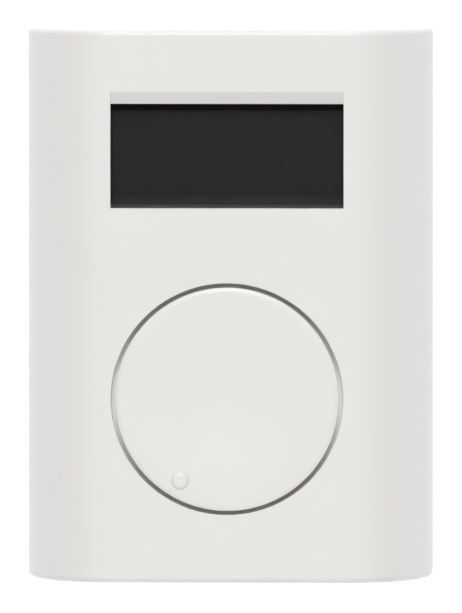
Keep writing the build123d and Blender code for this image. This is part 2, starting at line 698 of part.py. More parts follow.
# ---- Temperature sensor: a bead on two leads, over the bottom vents ----------------------------
bead_out, bead_r = 13.4, 1.2
with BuildPart() as temperature_sensor:
    with BuildSketch(out_plane(board_back_out - 0.6)):
        with Locations((sensor_x, sensor_z)):
            with GridLocations(lead_pitch, 1, 2, 1):
                Circle(lead_r)
    extrude(amount=bead_out - board_back_out + 0.6)
    with Locations((sensor_x, -bead_out, sensor_z)):
        Sphere(bead_r)
temperature_sensor.part.label = "temperature_sensor"
export_step(temperature_sensor.part, "parts/temperature_sensor.step")

# ---- Leaf springs from the board to the wall plate's contact strips ----------------------------
leaf_t = 0.2
strip_front_out = strip_back_out + strip_thickness
leaf_tip_out = strip_front_out + 0.05 + leaf_t / 2
with BuildPart() as spring_contacts:
    for x in pole_x:
        with BuildSketch(Plane.YZ.offset(x - contact_w / 2)):
            with BuildLine() as leaf_path:
                FilletPolyline(
                    (-board_back_out + leaf_t / 2, contact_z + 5.0),
                    (-board_back_out + leaf_t / 2, contact_z + 2.8),
                    (-leaf_tip_out, contact_z),
                    (-leaf_tip_out - 1.0, contact_z - 1.4),
                    radius=0.6,
                )
            trace(leaf_path.line, line_width=leaf_t)
        extrude(amount=contact_w)
spring_contacts.part.label = "spring_contacts"
export_step(spring_contacts.part, "parts/spring_contacts.step")

# ======================================== Dial ====================================================

# ---- Dial shaft: D-shaped, with a flange behind the rotor --------------------------------------
with BuildPart() as dial_shaft:
    with BuildSketch(out_plane(shaft_back_out)):
        with Locations((0, dial_z)):
            Circle(flange_r)
    extrude(amount=flange_thickness)
    with BuildSketch(out_plane(shaft_back_out + flange_thickness)):
        with Locations((0, dial_z)):
            add(d_section(shaft_r, shaft_flat))
    extrude(amount=shaft_front_out - shaft_back_out - flange_thickness)
    chamfer(dial_shaft.edges().group_by(Axis.Y)[0], length=0.4)
dial_shaft.part.label = "dial_shaft"
export_step(dial_shaft.part, "parts/dial_shaft.step")

# ---- Dial: dished face, collar, skirt, ribs, split hub and the raised dot ----------------------
dial_floor_out = dial_rim_out - dial_dish
dot_x = -dot_distance * sin(radians(dot_angle))
dot_z = dial_z - dot_distance * cos(radians(dot_angle))
with BuildPart() as dial_knob:
    with BuildSketch(dial_section()):
        with BuildLine():
            Polyline(
                (0, dial_floor_out),
                (0, dial_ceiling_out),
                (dial_r - dial_skirt, dial_ceiling_out),
                (dial_r - dial_skirt, dial_back_out),
                (dial_r, dial_back_out),
                (dial_r, collar_front_out - collar_thickness),
                (collar_r, collar_front_out - collar_thickness),
                (collar_r, collar_front_out),
                (dial_r, collar_front_out),
                (dial_r, dial_rim_out - dial_edge_h),
            )
            EllipticalCenterArc(
                (dial_r - dial_edge_w, dial_rim_out - dial_edge_h), dial_edge_w, dial_edge_h, arc_size=90
            )
            Spline(
                (dial_r - dial_edge_w, dial_rim_out),
                (0, dial_floor_out),
                tangents=((-1, 0), (-1, 0)),
            )
        make_face()
    revolve(axis=dial_axis)
    with BuildSketch(out_plane(dial_floor_out - 0.5)):
        with Locations((dot_x, dot_z)):
            Circle(dot_r)
    extrude(amount=dot_out - dial_floor_out + 0.5)
    fillet(dial_knob.edges().group_by(Axis.Y)[0], radius=dot_round)
    with BuildSketch(out_plane(hub_back_out)):
        with Locations((0, dial_z)):
            Circle(hub_r)
    extrude(amount=dial_ceiling_out + fit_gap - hub_back_out)
    with BuildSketch(out_plane(rib_back_out)):
        with Locations((0, dial_z)):
            with PolarLocations((hub_r + dial_r - dial_skirt) / 2, rib_count):
                Rectangle(dial_r - dial_skirt - hub_r + 2 * fit_gap, rib_thickness)
    extrude(amount=dial_ceiling_out + fit_gap - rib_back_out)
    with BuildSketch(out_plane(hub_back_out)):
        with Locations((0, dial_z)):
            add(shaft_bore)
    extrude(amount=shaft_front_out + fit_gap - hub_back_out, mode=Mode.SUBTRACT)
    with BuildSketch(out_plane(hub_back_out)):
        with Locations((0, dial_z)):
            Rectangle(2 * hub_r + 1, hub_slit)
    extrude(amount=rib_back_out - hub_back_out, mode=Mode.SUBTRACT)
dial_knob.part.label = "dial_knob"
export_step(dial_knob.part, "parts/dial_knob.step")

# ---- Spring clip round the dial's split hub ----------------------------------------------------
with BuildPart() as dial_clip:
    with BuildSketch(out_plane(hub_back_out + clip_inset)):
        with Locations((0, dial_z)):
            Circle(hub_r + clip_sheet)
            Circle(hub_r + running_clearance, mode=Mode.SUBTRACT)
            with Locations((0, hub_r)):
                Rectangle(clip_gap, clip_gap, mode=Mode.SUBTRACT)
    extrude(amount=clip_w)
dial_clip.part.label = "dial_clip"
export_step(dial_clip.part, "parts/dial_clip.step")

# ======================================== Wall base ===============================================

# ---- Wall plate: rim, screw slots, cable opening, hinge pins, strip rest and staking posts -----
notch_low = 38.6
cheek_low, cheek_out, cheek_r = 36.4, 3.4, 1.0
rest_w, rest_low, rest_high = 18.4, 20.4, 24.4
pin_span = cheek_gap + 2 * cheek_width
seat_margin, seat_height = 2.5, 0.4
cable_collar, cable_corner = cable_size + 3.2, 1.5
plate_rib_spacing, plate_rib_w, plate_rib_l, plate_rib_height = 45.2, 1.2, 52.0, 1.0
with BuildPart() as back_plate:
    with BuildSketch(out_plane(0)):
        with Locations((0, plate_low)):
            RectangleRounded(*plate_size, plate_corner, align=(Align.CENTER, Align.MIN))
    extrude(amount=plate_thickness)
    with BuildSketch(out_plane(plate_thickness)):
        with Locations((0, plate_low)):
            RectangleRounded(*plate_size, plate_corner, align=(Align.CENTER, Align.MIN))
        with Locations((0, plate_low + rim_thickness)):
            Rectangle(
                plate_w - 2 * rim_thickness,
                plate_high - plate_low - 2 * rim_thickness,
                align=(Align.CENTER, Align.MIN),
                mode=Mode.SUBTRACT,
            )
    extrude(amount=rim_out - plate_thickness)
    # Raised seats for the two wall screws, ribs beside the opening and the rest for the contact strips.
    with BuildSketch(out_plane(plate_thickness)):
        with GridLocations(1, slot_spacing, 1, 2):
            SlotOverall(slot_length + 2 * seat_margin, slot_width + 2 * seat_margin, rotation=90)
    extrude(amount=seat_height)
    with BuildSketch(out_plane(plate_thickness)):
        with Locations((0, cable_z)):
            add(frame_sketch(cable_collar, cable_collar, cable_size, cable_size))
            with GridLocations(plate_rib_spacing, 1, 2, 1):
                Rectangle(plate_rib_w, plate_rib_l)
    extrude(amount=plate_rib_height)
    with BuildSketch(out_plane(plate_thickness)):
        with Locations((0, rest_low)):
            Rectangle(rest_w, rest_high - rest_low, align=(Align.CENTER, Align.MIN))
    extrude(amount=strip_back_out - plate_thickness)
    with BuildSketch(out_plane(plate_thickness)):
        with GridLocations(2 * latch_post_x, 1, 2, 1):
            with Locations((0, latch_post_z)):
                Circle(latch_post_r)
    extrude(amount=latch_post_l)
    # Openings: screw slots, cable, pegs of the terminal block, claws of the cover and the latch tongue.
    with BuildSketch(out_plane(0)):
        with GridLocations(1, slot_spacing, 1, 2):
            SlotOverall(slot_length, slot_width, rotation=90)
        with Locations((0, cable_z)):
            RectangleRounded(cable_size, cable_size, cable_corner)
        with Locations((-block_peg_x, block_peg_z), (block_peg_x, block_peg_z)):
            Circle(block_peg_r + running_clearance)
        with Locations(*[(x, notch_low) for x in hinge_x]):
            Rectangle(cheek_gap, plate_high, align=(Align.CENTER, Align.MIN))
    extrude(amount=rim_out, mode=Mode.SUBTRACT)
    with BuildSketch(out_plane(plate_thickness)):
        with Locations((0, plate_low)):
            Rectangle(latch_w + 1, 2 * rim_thickness)
    extrude(amount=rim_out, mode=Mode.SUBTRACT)
    for x in hinge_x:
        for side in (-1, 1):
            cheek_left = x + side * (cheek_gap + cheek_width) / 2 - cheek_width / 2
            with BuildSketch(Plane.YZ.offset(cheek_left)):
                with Locations((0, cheek_low)):
                    Rectangle(cheek_out, hinge_z - cheek_low, align=(Align.MAX, Align.MIN))
                with Locations((-hinge_out, hinge_z)):
                    Circle(cheek_r)
            extrude(amount=cheek_width)
        with BuildSketch(Plane.YZ.offset(x - pin_span / 2)):
            with Locations((-hinge_out, hinge_z)):
                Circle(hinge_pin_r)
        extrude(amount=pin_span)
back_plate.part.label = "back_plate"
export_step(back_plate.part, "parts/back_plate.step")

# ---- Snap latch at the bottom of the wall plate ------------------------------------------------
with BuildPart() as cover_latch:
    with BuildSketch(Plane.YZ.offset(-latch_w / 2)):
        with BuildLine():
            Polyline(
                (-plate_thickness, latch_foot_top),
                (-plate_thickness - latch_sheet, latch_foot_top),
                (-plate_thickness - latch_sheet, latch_bend_z),
                (-latch_tip_out, latch_bend_z),
                (-latch_tip_out + 0.2, latch_back_z),
                (-latch_hook_front_out, latch_hook_z),
                (-latch_hook_back_out, latch_hook_z),
                (-latch_hook_back_out, latch_back_z),
                (-plate_thickness, latch_back_z),
                close=True,
            )
        make_face()
    extrude(amount=latch_w)
    with BuildSketch(out_plane(plate_thickness)):
        with GridLocations(2 * latch_post_x, 1, 2, 1):
            with Locations((0, latch_post_z)):
                Circle(latch_post_r + running_clearance)
    extrude(amount=latch_sheet, mode=Mode.SUBTRACT)
cover_latch.part.label = "cover_latch"
export_step(cover_latch.part, "parts/cover_latch.step")

# ---- Terminal block: four rooms, wire mouths below, screw holes in front, strip slots above ----
mouth_w, mouth_back_out, mouth_front_out = 2.8, 2.7, 4.3
with BuildPart() as terminal_block:
    with BuildSketch(out_plane(plate_thickness)):
        with Locations((0, block_low)):
            Rectangle(block_w, block_high - block_low, align=(Align.CENTER, Align.MIN))
    extrude(amount=block_out - plate_thickness)
    chamfer(terminal_block.edges().group_by(Axis.Y)[0], length=0.3)
    with BuildSketch(out_plane(plate_thickness)):
        with Locations((-block_peg_x, block_peg_z), (block_peg_x, block_peg_z)):
            Circle(block_peg_r)
    extrude(amount=0.3 - plate_thickness)
    with BuildSketch(out_plane(room_back_out)):
        with Locations(*[(x, room_low) for x in pole_x]):
            Rectangle(room_w, room_high - room_low, align=(Align.CENTER, Align.MIN))
    extrude(amount=room_front_out - room_back_out, mode=Mode.SUBTRACT)
    with BuildSketch(out_plane(room_front_out)):
        with Locations(*[(x, pole_z) for x in pole_x]):
            Circle(clamp_head_r + 0.2)
    extrude(amount=block_out - room_front_out, mode=Mode.SUBTRACT)
    with BuildSketch(Plane.XY.offset(block_low)):
        with Locations(*[(x, -(mouth_back_out + mouth_front_out) / 2) for x in pole_x]):
            Rectangle(mouth_w, mouth_front_out - mouth_back_out)
    extrude(amount=room_low - block_low, mode=Mode.SUBTRACT)
    with BuildSketch(Plane.XY.offset(room_high)):
        with Locations(*[(x, -strip_back_out - strip_thickness / 2) for x in pole_x]):
            Rectangle(strip_w + 0.3, strip_thickness + 0.2)
    extrude(amount=block_high - room_high, mode=Mode.SUBTRACT)
terminal_block.part.label = "terminal_block"
export_step(terminal_block.part, "parts/terminal_block.step")

# ---- Clamp cages inside the block --------------------------------------------------------------
with BuildPart() as terminal_clamps:
    with BuildSketch(Plane.XY.offset(pole_z - cage_length / 2)):
        with Locations(*[(x, -(cage_back_out + cage_front_out) / 2) for x in pole_x]):
            Rectangle(cage_w, cage_front_out - cage_back_out)
        with Locations(*[(x, -cage_back_out - cage_side) for x in pole_x]):
            Rectangle(
                cage_w - 2 * cage_side,
                cage_front_out - cage_back_out - cage_side - cage_top,
                align=(Align.CENTER, Align.MAX),
                mode=Mode.SUBTRACT,
            )
    extrude(amount=cage_length)
    with BuildSketch(out_plane(cage_front_out - cage_top)):
        with Locations(*[(x, pole_z) for x in pole_x]):
            Circle(clamp_screw_r + running_clearance)
    extrude(amount=cage_top, mode=Mode.SUBTRACT)
terminal_clamps.part.label = "terminal_clamps"
export_step(terminal_clamps.part, "parts/terminal_clamps.step")

# ---- Clamp screws ------------------------------------------------------------------------------
with BuildPart() as terminal_screws:
    with BuildSketch(out_plane(clamp_screw_out)):
        with Locations(*[(x, pole_z) for x in pole_x]):
            Circle(clamp_screw_r)
    extrude(amount=clamp_head_out - clamp_screw_out)
    with BuildSketch(out_plane(clamp_head_out)):
        with Locations(*[(x, pole_z) for x in pole_x]):
            Circle(clamp_head_r)
    extrude(amount=clamp_top_out - clamp_head_out)
    with BuildSketch(out_plane(clamp_top_out)):
        with Locations(*[(x, pole_z) for x in pole_x]):
            Rectangle(2 * clamp_head_r, 0.5)
    extrude(amount=-0.5, mode=Mode.SUBTRACT)
terminal_screws.part.label = "terminal_screws"
export_step(terminal_screws.part, "parts/terminal_screws.step")

# ---- Contact strips from the clamps up to where the leaf springs touch -------------------------
with BuildPart() as contact_strips:
    with BuildSketch(out_plane(strip_back_out)):
        with Locations(*[(x, strip_low) for x in pole_x]):
            Rectangle(strip_w, strip_high - strip_low, align=(Align.CENTER, Align.MIN))
    extrude(amount=strip_thickness)
contact_strips.part.label = "contact_strips"
export_step(contact_strips.part, "parts/contact_strips.step")
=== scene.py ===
import json
import math

import bmesh
import bpy
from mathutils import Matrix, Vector


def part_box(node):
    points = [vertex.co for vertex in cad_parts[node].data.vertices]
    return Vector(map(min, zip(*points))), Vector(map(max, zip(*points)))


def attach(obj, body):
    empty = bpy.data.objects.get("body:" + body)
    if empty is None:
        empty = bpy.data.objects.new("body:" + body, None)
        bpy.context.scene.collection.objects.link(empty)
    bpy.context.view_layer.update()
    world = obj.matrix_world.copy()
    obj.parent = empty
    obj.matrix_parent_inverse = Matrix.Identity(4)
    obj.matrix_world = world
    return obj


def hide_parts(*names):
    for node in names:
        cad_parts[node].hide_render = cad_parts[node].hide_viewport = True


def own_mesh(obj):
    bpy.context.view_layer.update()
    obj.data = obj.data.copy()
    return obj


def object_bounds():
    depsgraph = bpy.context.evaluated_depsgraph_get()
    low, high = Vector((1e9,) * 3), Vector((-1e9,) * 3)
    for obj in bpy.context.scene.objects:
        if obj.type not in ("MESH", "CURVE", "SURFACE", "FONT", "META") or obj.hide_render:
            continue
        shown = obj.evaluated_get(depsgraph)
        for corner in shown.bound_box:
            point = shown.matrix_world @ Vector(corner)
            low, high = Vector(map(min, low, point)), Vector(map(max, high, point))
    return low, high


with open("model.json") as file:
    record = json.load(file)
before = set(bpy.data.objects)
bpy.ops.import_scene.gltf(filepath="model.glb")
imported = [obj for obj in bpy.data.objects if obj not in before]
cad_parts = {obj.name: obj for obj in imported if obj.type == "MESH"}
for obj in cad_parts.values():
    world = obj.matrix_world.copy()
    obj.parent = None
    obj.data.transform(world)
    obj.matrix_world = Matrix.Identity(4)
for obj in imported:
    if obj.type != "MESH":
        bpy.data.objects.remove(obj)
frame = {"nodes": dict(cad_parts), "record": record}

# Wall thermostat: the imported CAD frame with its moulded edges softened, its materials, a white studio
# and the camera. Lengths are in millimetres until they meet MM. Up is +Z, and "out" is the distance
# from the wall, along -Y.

MM = 0.001
cad_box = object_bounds()
nodes = frame["nodes"]
node_body = {n: b for b, ns in frame["record"]["behaviour"]["bodies"].items() for n in ns}


# ---- Node trees ----------------------------------------------------------------------------------

class Graph:
    """A node tree, with short calls for the nodes used here."""

    def __init__(self, tree):
        self.tree = tree

    def node(self, kind, **settings):
        n = self.tree.nodes.new(kind)
        for key, value in settings.items():
            setattr(n, key, value)
        return n

    def put(self, socket, value):
        if isinstance(value, bpy.types.NodeSocket):
            self.tree.links.new(value, socket)
        else:
            socket.default_value = value

    def xyz(self, vector):
        n = self.node("ShaderNodeSeparateXYZ")
        self.put(n.inputs[0], vector)
        return n.outputs

    def span(self, value, low, high, out_low=0.0, out_high=1.0, smooth=False):
        """The value's way from low to high, as a way from out_low to out_high."""
        n = self.node("ShaderNodeMapRange")
        if smooth:
            n.interpolation_type = "SMOOTHSTEP"
        ends = {"Value": value, "From Min": low, "From Max": high, "To Min": out_low, "To Max": out_high}
        for name, end in ends.items():
            self.put(n.inputs[name], end)
        return n.outputs["Result"]

    def math(self, operation, first, *others):
        """One operation over all the values, in order."""
        for other in others or (0.0,):
            n = self.node("ShaderNodeMath", operation=operation)
            self.put(n.inputs[0], first)
            self.put(n.inputs[1], other)
            first = n.outputs[0]
        return first

    def mix(self, factor, a, b):
        """A colour between a and b."""
        n = self.node("ShaderNodeMix", data_type="RGBA")
        self.put(n.inputs["Factor"], factor)
        for socket, value in ((n.inputs[6], a), (n.inputs[7], b)):
            self.put(socket, value if isinstance(value, bpy.types.NodeSocket) else (*value, 1.0))
        return n.outputs[2]


class Shader(Graph):
    """A material, with calls for its textures and for the sockets of its one shader."""

    def __init__(self, name):
        self.material = bpy.data.materials.new(name)
        self.material.use_nodes = True
        super().__init__(self.material.node_tree)
        self.bsdf = self.tree.nodes["Principled BSDF"]
        self.place = self.node("ShaderNodeTexCoord").outputs["Object"]

    def set(self, **values):
        for key, value in values.items():
            self.put(self.bsdf.inputs[key.replace("_", " ")], value)

    def noise(self, size_mm, detail=3.0, roughness=0.5, place=None):
        n = self.node("ShaderNodeTexNoise")
        self.put(n.inputs["Vector"], place or self.place)
        n.inputs["Scale"].default_value = 1.0 / (size_mm * MM)
        n.inputs["Detail"].default_value = detail
        n.inputs["Roughness"].default_value = roughness
        return n.outputs["Fac"]

    def cells(self, size_mm, randomness=1.0):
        n = self.node("ShaderNodeTexVoronoi")
        self.put(n.inputs["Vector"], self.place)
        n.inputs["Scale"].default_value = 1.0 / (size_mm * MM)
        n.inputs["Randomness"].default_value = randomness
        return n.outputs

    def rows(self, coordinate, pitch_mm, low, high):
        """Even stripes across a coordinate, 0 or 1 with edges between low and high of the pitch."""
        turns = self.math("MULTIPLY", coordinate, 1.0 / (pitch_mm * MM))
        return self.span(self.math("PINGPONG", turns, 0.5), low, high)

    def bump(self, height, depth_mm, under=None):
        n = self.node("ShaderNodeBump")
        self.put(n.inputs["Height"], height)
        n.inputs["Distance"].default_value = depth_mm * MM
        if under is not None:
            self.put(n.inputs["Normal"], under)
        return n.outputs["Normal"]

    def stretched(self, x, y, z):
        n = self.node("ShaderNodeMapping")
        self.put(n.inputs["Vector"], self.place)
        n.inputs["Scale"].default_value = (x, y, z)
        return n.outputs["Vector"]


FLOW_SHADE, UNEVEN_GLOSS = 0.02, 0.06


def lighter(color, by):
    return tuple(min(1.0, c * by) for c in color)


def moulded(name, color, roughness, grain_mm=0.16, grain_depth_mm=0.006):
    """Injection-moulded plastic: fine spark-eroded grain, slow shade changes from flow, uneven sheen."""
    s = Shader(name)
    slow = s.noise(9.0, detail=2.0)
    grain = s.noise(grain_mm, detail=2.0, roughness=0.6)
    s.set(Base_Color=s.mix(slow, lighter(color, 1 - FLOW_SHADE), lighter(color, 1 + FLOW_SHADE)))
    gloss = s.noise(1.4, detail=4.0)
    s.set(Roughness=s.span(gloss, 0.3, 0.7, roughness - UNEVEN_GLOSS, roughness + UNEVEN_GLOSS))
    s.set(Normal=s.bump(grain, grain_depth_mm))
    s.bsdf.inputs["IOR"].default_value = 1.52
    return s.material


def metal(name, color, roughness, lines=(1.0, 1.0, 1.0), lines_mm=0.25, tarnish=0.12):
    """Worked metal: drawn or rolled lines, patches of tarnish, uneven gloss."""
    s = Shader(name)
    streaks = s.noise(lines_mm, detail=4.0, roughness=0.65, place=s.stretched(*lines))
    patches = s.noise(2.2, detail=3.0)
    s.set(Base_Color=s.mix(patches, lighter(color, 1 - tarnish), color))
    s.set(Roughness=s.span(streaks, 0.25, 0.75, roughness * 0.75, roughness * 1.3))
    s.set(Normal=s.bump(streaks, 0.004))
    s.bsdf.inputs["Metallic"].default_value = 1.0
    return s.material


def rubber(name, color, cell_mm, depth_mm):
    """Foam or silicone: open cells in the surface and a soft sheen."""
    s = Shader(name)
    cells = s.cells(cell_mm)["Distance"]
    # Painted shade: the pits of the cells are coloured darker and their rims lighter, following the bump
    # below.
    s.set(Base_Color=s.mix(s.span(cells, 0.0, 0.6), lighter(color, 0.6), lighter(color, 1.3)))
    s.set(Normal=s.bump(cells, depth_mm))
    s.bsdf.inputs["Roughness"].default_value = 0.9
    return s.material


# ---- Mesh helpers --------------------------------------------------------------------------------

PLANAR, SHARP = math.radians(0.3), math.radians(30)
WELD = 2e-7


def finish_mesh(bm, name, body, material, node=None):
    """Turns a bmesh into a smooth-shaded piece that rides on its body."""
    mesh = bpy.data.meshes.new(name)
    bm.to_mesh(mesh)
    bm.free()
    mesh.shade_smooth()
    mesh.materials.append(material)
    obj = bpy.data.objects.new(name, mesh)
    bpy.context.scene.collection.objects.link(obj)
    fair = obj.modifiers.new("even_normals", "WEIGHTED_NORMAL")
    fair.keep_sharp = False
    fair.weight = 100
    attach(obj, body)
    if node:
        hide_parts(node)
    return obj


def softened(node, material, width_mm):
    """The CAD node with its hard edges rounded, as moulding and stamping leave them."""
    bm = bmesh.new()
    bm.from_mesh(nodes[node].data)
    bmesh.ops.remove_doubles(bm, verts=bm.verts, dist=WELD)
    bmesh.ops.dissolve_limit(bm, angle_limit=PLANAR, verts=bm.verts, edges=bm.edges, delimit=set())
    hard = [e for e in bm.edges if e.is_manifold and e.calc_face_angle(0) > SHARP]
    bmesh.ops.bevel(
        bm, geom=hard, offset=width_mm * MM, offset_type="OFFSET", segments=2, profile=0.5,
        affect="EDGES", clamp_overlap=True,
    )
    return finish_mesh(bm, node + "_body", node_body[node], material, node)


# ---- Materials -----------------------------------------------------------------------------------

DIAL_AXIS = Vector((0, 0, -15.1)) * MM
OPENING_R = 18.9
WHITE, WHITE_SHADE, WHITE_GLOSS = (0.795, 0.800, 0.785), 0.012, 0.05
GAP_PAINTED_SHADE = (0.47, 0.415, 0.375)
GAP_REACH, GAP_FADE = 1.4, 0.1
GAP_LEVEL_FROM, GAP_LEVEL_TO = 3.0, 13.0


def show_plastic(name, roughness, shade_front_out, shade_back_out):
    """The glossy white of the outside, with painted shade in the gap round the dial, darkest where the gap
    runs level.
    """
    s = Shader(name)
    grain = s.noise(0.16, detail=2.0, roughness=0.6)
    slow = s.noise(11.0, detail=2.0)
    white = s.mix(slow, lighter(WHITE, 1 - WHITE_SHADE), lighter(WHITE, 1 + WHITE_SHADE))
    apart = s.node("ShaderNodeVectorMath", operation="SUBTRACT")
    s.put(apart.inputs[0], s.place)
    apart.inputs[1].default_value = DIAL_AXIS
    across = s.node("ShaderNodeVectorMath", operation="MULTIPLY")
    s.put(across.inputs[0], apart.outputs[0])
    across.inputs[1].default_value = (1, 0, 1)
    radius = s.node("ShaderNodeVectorMath", operation="LENGTH")
    s.put(radius.inputs[0], across.outputs[0])
    reach = OPENING_R + GAP_REACH
    beside = s.span(radius.outputs["Value"], reach * MM, (reach + GAP_FADE) * MM, 1.0, 0.0)
    sunk = s.span(s.xyz(s.place)["Y"], -shade_front_out * MM, -shade_back_out * MM)
    patchy = s.span(s.noise(1.6, detail=4.0), 0.25, 0.75, 0.75, 1.0)
    height = s.math("ABSOLUTE", s.xyz(across.outputs[0])["Z"])
    level = s.span(height, GAP_LEVEL_FROM * MM, GAP_LEVEL_TO * MM)
    # Painted shade: the walls sunk into the gap round the dial are greyed brown, patchy, and darkest at top
    # and bottom where the gap runs level, standing in for the shade down in the gap.
    s.set(Base_Color=s.mix(s.math("MULTIPLY", beside, sunk, patchy, level), white, GAP_PAINTED_SHADE))
    gloss = s.noise(1.4, detail=4.0)
    s.set(Roughness=s.span(gloss, 0.3, 0.7, roughness - WHITE_GLOSS, roughness + WHITE_GLOSS))
    s.set(Normal=s.bump(grain, 0.004))
    s.bsdf.inputs["IOR"].default_value = 1.5
    return s.material


case_white = show_plastic("case_white", 0.38, 21.5, 20.7)
dial_white = show_plastic("dial_white", 0.36, 20.8, 20.2)
plate_white = moulded("plate_white", (0.74, 0.74, 0.72), 0.5)
frame_white = moulded("frame_white", (0.78, 0.78, 0.75), 0.55)
terminal_grey = moulded("terminal_grey", (0.16, 0.17, 0.18), 0.45)
inner_black = moulded("inner_black", (0.03, 0.03, 0.03), 0.5)
encoder_green = moulded("encoder_green", (0.02, 0.10, 0.05), 0.45)
chip_epoxy = moulded("chip_epoxy", (0.022, 0.022, 0.023), 0.55, grain_mm=0.08, grain_depth_mm=0.01)
ferrite = moulded("ferrite", (0.06, 0.055, 0.055), 0.6, grain_mm=0.12, grain_depth_mm=0.02)
sensor_resin = moulded("sensor_resin", (0.02, 0.02, 0.025), 0.2)
led_body = moulded("led_body", (0.85, 0.80, 0.45), 0.3)
steel = metal("steel", (0.62, 0.62, 0.60), 0.32, lines=(1, 1, 0.08))
spring_steel = metal("spring_steel", (0.55, 0.55, 0.54), 0.28, lines=(0.1, 1, 1))
zinc = metal("zinc", (0.66, 0.66, 0.62), 0.36, lines_mm=0.4)
solder = metal("solder", (0.62, 0.63, 0.64), 0.22, lines_mm=0.6, tarnish=0.25)
can_metal = metal("can_metal", (0.75, 0.75, 0.75), 0.25, lines=(1, 0.1, 1))
gold = metal("gold", (0.86, 0.66, 0.30), 0.24, lines=(1, 1, 0.1))
brass = metal("brass", (0.78, 0.58, 0.28), 0.3, lines=(1, 1, 0.1))
shaft_metal = metal("shaft_metal", (0.70, 0.70, 0.69), 0.3, lines=(1, 8, 1))
foam_black = rubber("foam_black", (0.008, 0.008, 0.008), 0.35, 0.03)
contact_rubber = rubber("contact_rubber", (0.50, 0.20, 0.22), 0.18, 0.01)


def board_material():
    """Green solder mask over copper tracks that run up or across by patches, with plated holes."""
    s = Shader("board_mask")
    place = s.xyz(s.place)
    choice = s.node("ShaderNodeSeparateColor")
    s.put(choice.inputs[0], s.cells(9.0)["Color"])
    upright = s.math("GREATER_THAN", choice.outputs[0], 0.5)
    covered = s.math("GREATER_THAN", choice.outputs[1], 0.28)
    across, along = (s.rows(place[axis], 0.85, 0.27, 0.31) for axis in ("Z", "X"))
    level = s.math("SUBTRACT", 1.0, upright)
    tracks = s.math("ADD", s.math("MULTIPLY", along, upright), s.math("MULTIPLY", across, level))
    tracks = s.math("MULTIPLY", tracks, covered)
    plated = s.span(s.cells(3.4, randomness=0.75)["Distance"], 0.085, 0.10, 1.0, 0.0)
    weave = s.noise(0.3, detail=1.0)
    mask = s.mix(tracks, (0.006, 0.070, 0.030), (0.014, 0.150, 0.058))
    s.set(Base_Color=s.mix(plated, mask, (0.62, 0.47, 0.20)))
    s.set(Normal=s.bump(tracks, 0.03, under=s.bump(weave, 0.004)))
    s.set(Roughness=s.span(weave, 0.3, 0.7, 0.22, 0.34))
    s.set(Metallic=plated)
    return s.material


def smoked_material():
    """Polished clear window, lightly smoked, with a few specks of dust."""
    s = Shader("smoked_window")
    dust = s.span(s.cells(4.3)["Distance"], 0.012, 0.024, 1.0, 0.0)
    haze = s.noise(6.0, detail=3.0)
    s.set(Base_Color=s.mix(dust, (0.002, 0.002, 0.002), (0.10, 0.10, 0.095)))
    s.set(Roughness=s.span(haze, 0.3, 0.7, 0.03, 0.07))
    s.set(Alpha=s.span(dust, 0.0, 1.0, 0.35, 0.9))
    s.bsdf.inputs["IOR"].default_value = 1.45
    return s.material


FILM_FOOT, FILM_PAINTED_LIGHT_TOP = 16.6, 18.2


def film_material():
    """Polarising film: a near black with a green cast and a faint warm bloom, with painted light along its
    foot from the white sill below.
    """
    s = Shader("polarising_film")
    bloom = s.noise(16.0, detail=1.0)
    fine = s.noise(0.5, detail=2.0)
    painted_light = s.span(s.xyz(s.place)["Z"], FILM_FOOT * MM, FILM_PAINTED_LIGHT_TOP * MM, 1.0, 0.0)
    film = s.mix(bloom, (0.082, 0.082, 0.073), (0.090, 0.086, 0.077))
    # Painted light: the film is paler towards its foot, standing in for light bounced off the white sill
    # under the window.
    s.set(Base_Color=s.mix(painted_light, film, (0.190, 0.191, 0.175)))
    s.set(Roughness=s.span(fine, 0.3, 0.7, 0.42, 0.55))
    s.set(Normal=s.bump(fine, 0.002))
    return s.material


def panel_material():
    """Bare display glass: a grey edge with rows of fine contacts."""
    s = Shader("display_glass")
    haze = s.noise(4.0)
    rows = s.rows(s.xyz(s.place)["X"], 1.1, 0.28, 0.34)
    glass = s.mix(haze, (0.50, 0.505, 0.47), (0.55, 0.553, 0.51))
    s.set(Base_Color=s.mix(s.math("MULTIPLY", rows, 0.12), glass, (0.20, 0.20, 0.19)))
    s.set(Roughness=s.span(haze, 0.3, 0.7, 0.12, 0.22))
    return s.material


def guide_material():
    """Clear acrylic with a printed pattern of frosted dots."""
    s = Shader("light_guide_acrylic")
    dots = s.span(s.cells(1.1)["Distance"], 0.25, 0.3, 1.0, 0.0)
    s.set(Base_Color=s.mix(dots, (0.75, 0.80, 0.78), (0.92, 0.93, 0.92)))
    s.set(Roughness=s.span(dots, 0.0, 1.0, 0.08, 0.6))
    s.set(Alpha=s.span(dots, 0.0, 1.0, 0.45, 0.85))
    return s.material


def chip_material():
    """Ceramic chip parts: pale or dark blocks by place."""
    s = Shader("chip_ceramic")
    blocks = s.cells(2.5)["Color"]
    grain = s.noise(0.1)
    s.set(Base_Color=s.mix(blocks, (0.05, 0.045, 0.04), (0.42, 0.30, 0.18)))
    s.set(Normal=s.bump(grain, 0.01))
    s.bsdf.inputs["Roughness"].default_value = 0.5
    return s.material


board_mask = board_material()
smoked = smoked_material()
film_dark = film_material()
display_glass = panel_material()
guide_acrylic = guide_material()
chip_ceramic = chip_material()

# ---- Pieces --------------------------------------------------------------------------------------

